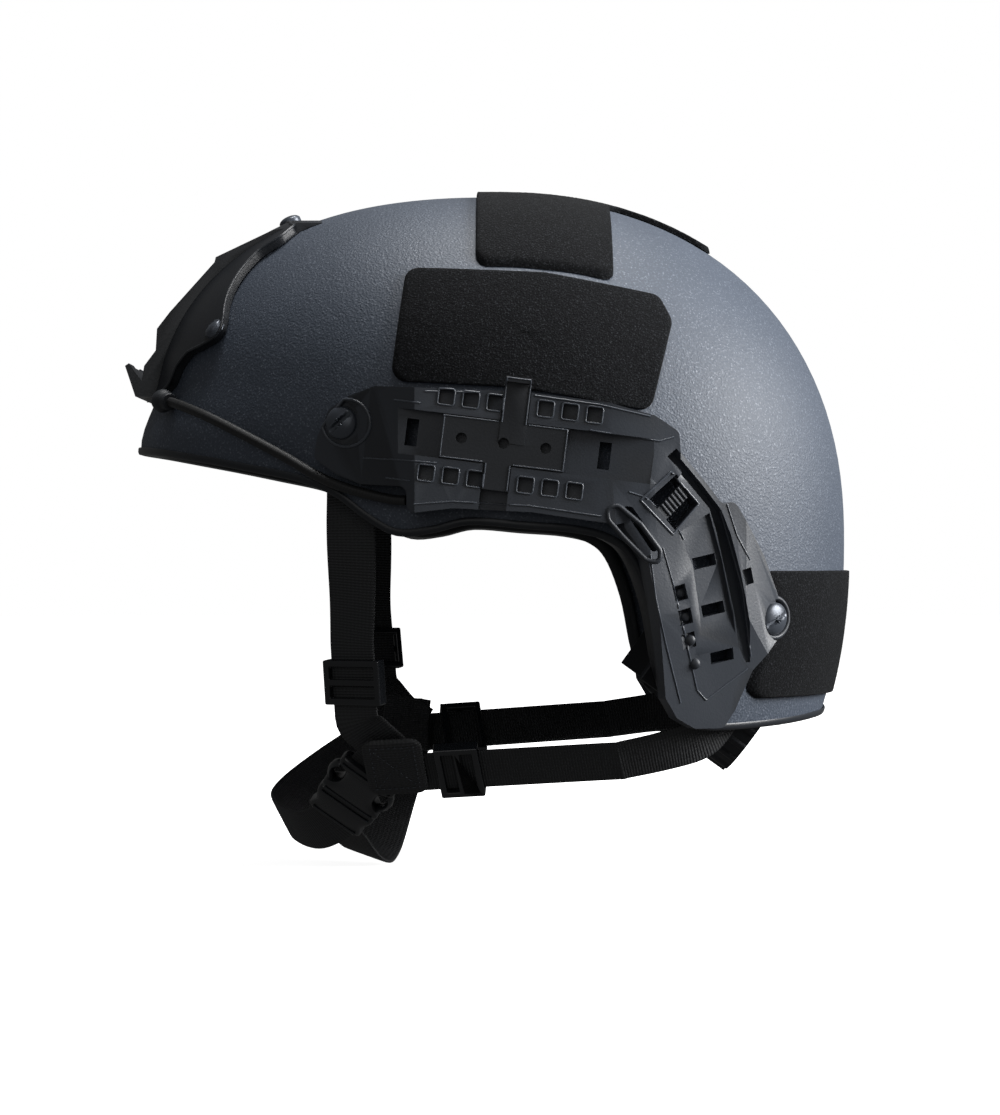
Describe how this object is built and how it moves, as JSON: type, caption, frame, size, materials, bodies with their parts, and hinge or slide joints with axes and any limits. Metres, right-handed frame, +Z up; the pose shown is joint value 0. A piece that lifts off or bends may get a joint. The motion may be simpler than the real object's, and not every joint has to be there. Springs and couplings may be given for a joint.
{
  "type": "combat helmet",
  "caption": "Open-face helmet with side rails, a front shroud, loop patches, comfort pads, a nape fit dial and a buckled chin harness.",
  "frame": {"origin": "the middle of the wearer's head, where the helmet is seated", "axes": "-X towards the front, -Y towards the wearer's left, +Z up; the head leaves downwards"},
  "size_m": [0.2858, 0.2516, 0.2683],
  "materials": {
    "shell": "satin, fine grain",
    "edging": "satin",
    "pad": "brushed",
    "loop": "fuzzy loop pile",
    "rail": "satin",
    "screw": "satin",
    "nut": "brushed",
    "shroud": "satin",
    "cord": "braided",
    "webbing": "ribbed",
    "buckle": "satin",
    "fit_system": "satin",
    "dial": "satin"
  },
  "bodies": {
    "helmet": {"shell": "shell", "edge_trim": "edging", "crown_pad": "pad", "front_pad": "pad", "rear_pad": "pad", "temple_pad_left": "pad", "temple_pad_right": "pad", "back_pad_left": "pad", "back_pad_right": "pad", "side_patch_left": "loop", "side_patch_right": "loop", "crown_patch": "loop", "rear_patch": "loop", "rail_left": "rail", "rail_right": "rail", "rail_insert_left": "rail", "rail_insert_right": "rail", "rail_screws": "screw", "rail_nuts": "nut", "shroud": "shroud", "shroud_screws": "screw", "shroud_nuts": "nut", "bungee_left": "cord", "bungee_right": "cord", "front_strap_left": "webbing", "front_strap_right": "webbing", "rear_strap_left": "webbing", "rear_strap_right": "webbing", "strap_join_left": "webbing", "strap_join_right": "webbing", "chin_tab": "webbing", "chin_front_band": "webbing", "chin_under_band": "webbing", "buckle_socket": "buckle", "buckle_plug": "buckle", "nape_housing": "fit_system", "nape_pad": "pad", "arm_guides": "fit_system"},
    "dial": {"fit_dial": "dial", "dial_pinion": "fit_system"},
    "arm_left": {"nape_arm_left": "fit_system"},
    "arm_right": {"nape_arm_right": "fit_system"},
    "tongue_left": {"rail_tongue_left": "rail"},
    "tongue_right": {"rail_tongue_right": "rail"},
    "front_slider_left": {"front_slider_left": "buckle"},
    "front_slider_right": {"front_slider_right": "buckle"},
    "rear_slider_left": {"rear_slider_left": "buckle"},
    "rear_slider_right": {"rear_slider_right": "buckle"},
    "prong_upper": {"prong_upper": "buckle"},
    "prong_lower": {"prong_lower": "buckle"}
  },
  "joints": [
    {"name": "dial_turn", "type": "hinge", "parent": "helmet", "child": "dial", "pos_m": [0.0967, 0, -0.0877], "axis": [-0.8102, 0, 0.5862], "range_deg": [0, 150]},
    {"name": "arm_left_draw", "type": "hinge", "parent": "helmet", "child": "arm_left", "pos_m": [-0.01349, 0, -0.00798], "axis": [0.5862, 0, 0.8102], "range_deg": [0, 3.95]},
    {"name": "arm_right_draw", "type": "hinge", "parent": "helmet", "child": "arm_right", "pos_m": [-0.01349, 0, -0.00798], "axis": [0.5862, 0, 0.8102], "range_deg": [-3.95, 0]},
    {"name": "tongue_left_press", "type": "hinge", "parent": "helmet", "child": "tongue_left", "pos_m": [0.06189, -0.11646, -0.0072], "axis": [-0.6181, -0.2882, 0.7314], "range_deg": [0, 7], "stiffness_Nm_per_rad": 0.05},
    {"name": "tongue_right_press", "type": "hinge", "parent": "helmet", "child": "tongue_right", "pos_m": [0.06189, 0.11646, -0.0072], "axis": [0.6181, -0.2882, -0.7314], "range_deg": [0, 7], "stiffness_Nm_per_rad": 0.05},
    {"name": "front_slider_left_slide", "type": "slide", "parent": "helmet", "child": "front_slider_left", "axis": [0.0563, 0.0928, -0.9941], "range_m": [-0.003, 0.001]},
    {"name": "front_slider_right_slide", "type": "slide", "parent": "helmet", "child": "front_slider_right", "axis": [0.0916, -0.1527, -0.984], "range_m": [-0.003, 0.001]},
    {"name": "rear_slider_left_slide", "type": "slide", "parent": "helmet", "child": "rear_slider_left", "axis": [0.9874, -0.1421, 0.069], "range_m": [-0.0008, 0.03]},
    {"name": "rear_slider_right_slide", "type": "slide", "parent": "helmet", "child": "rear_slider_right", "axis": [0.9874, 0.1421, 0.069], "range_m": [-0.0008, 0.03]},
    {"name": "prong_upper_squeeze", "type": "hinge", "parent": "helmet", "child": "prong_upper", "pos_m": [-0.04991, -0.03577, -0.12225], "axis": [-0.4041, -0.6549, -0.6386], "range_deg": [0, 6], "stiffness_Nm_per_rad": 0.05},
    {"name": "prong_lower_squeeze", "type": "hinge", "parent": "helmet", "child": "prong_lower", "pos_m": [-0.06237, -0.03653, -0.11358], "axis": [0.4041, 0.6549, 0.6386], "range_deg": [0, 6], "stiffness_Nm_per_rad": 0.05}
  ],
  "couplings": [
    {"joint": "arm_left_draw", "follows": "dial_turn", "ratio": 0.02577},
    {"joint": "arm_right_draw", "follows": "dial_turn", "ratio": -0.02577}
  ]
}
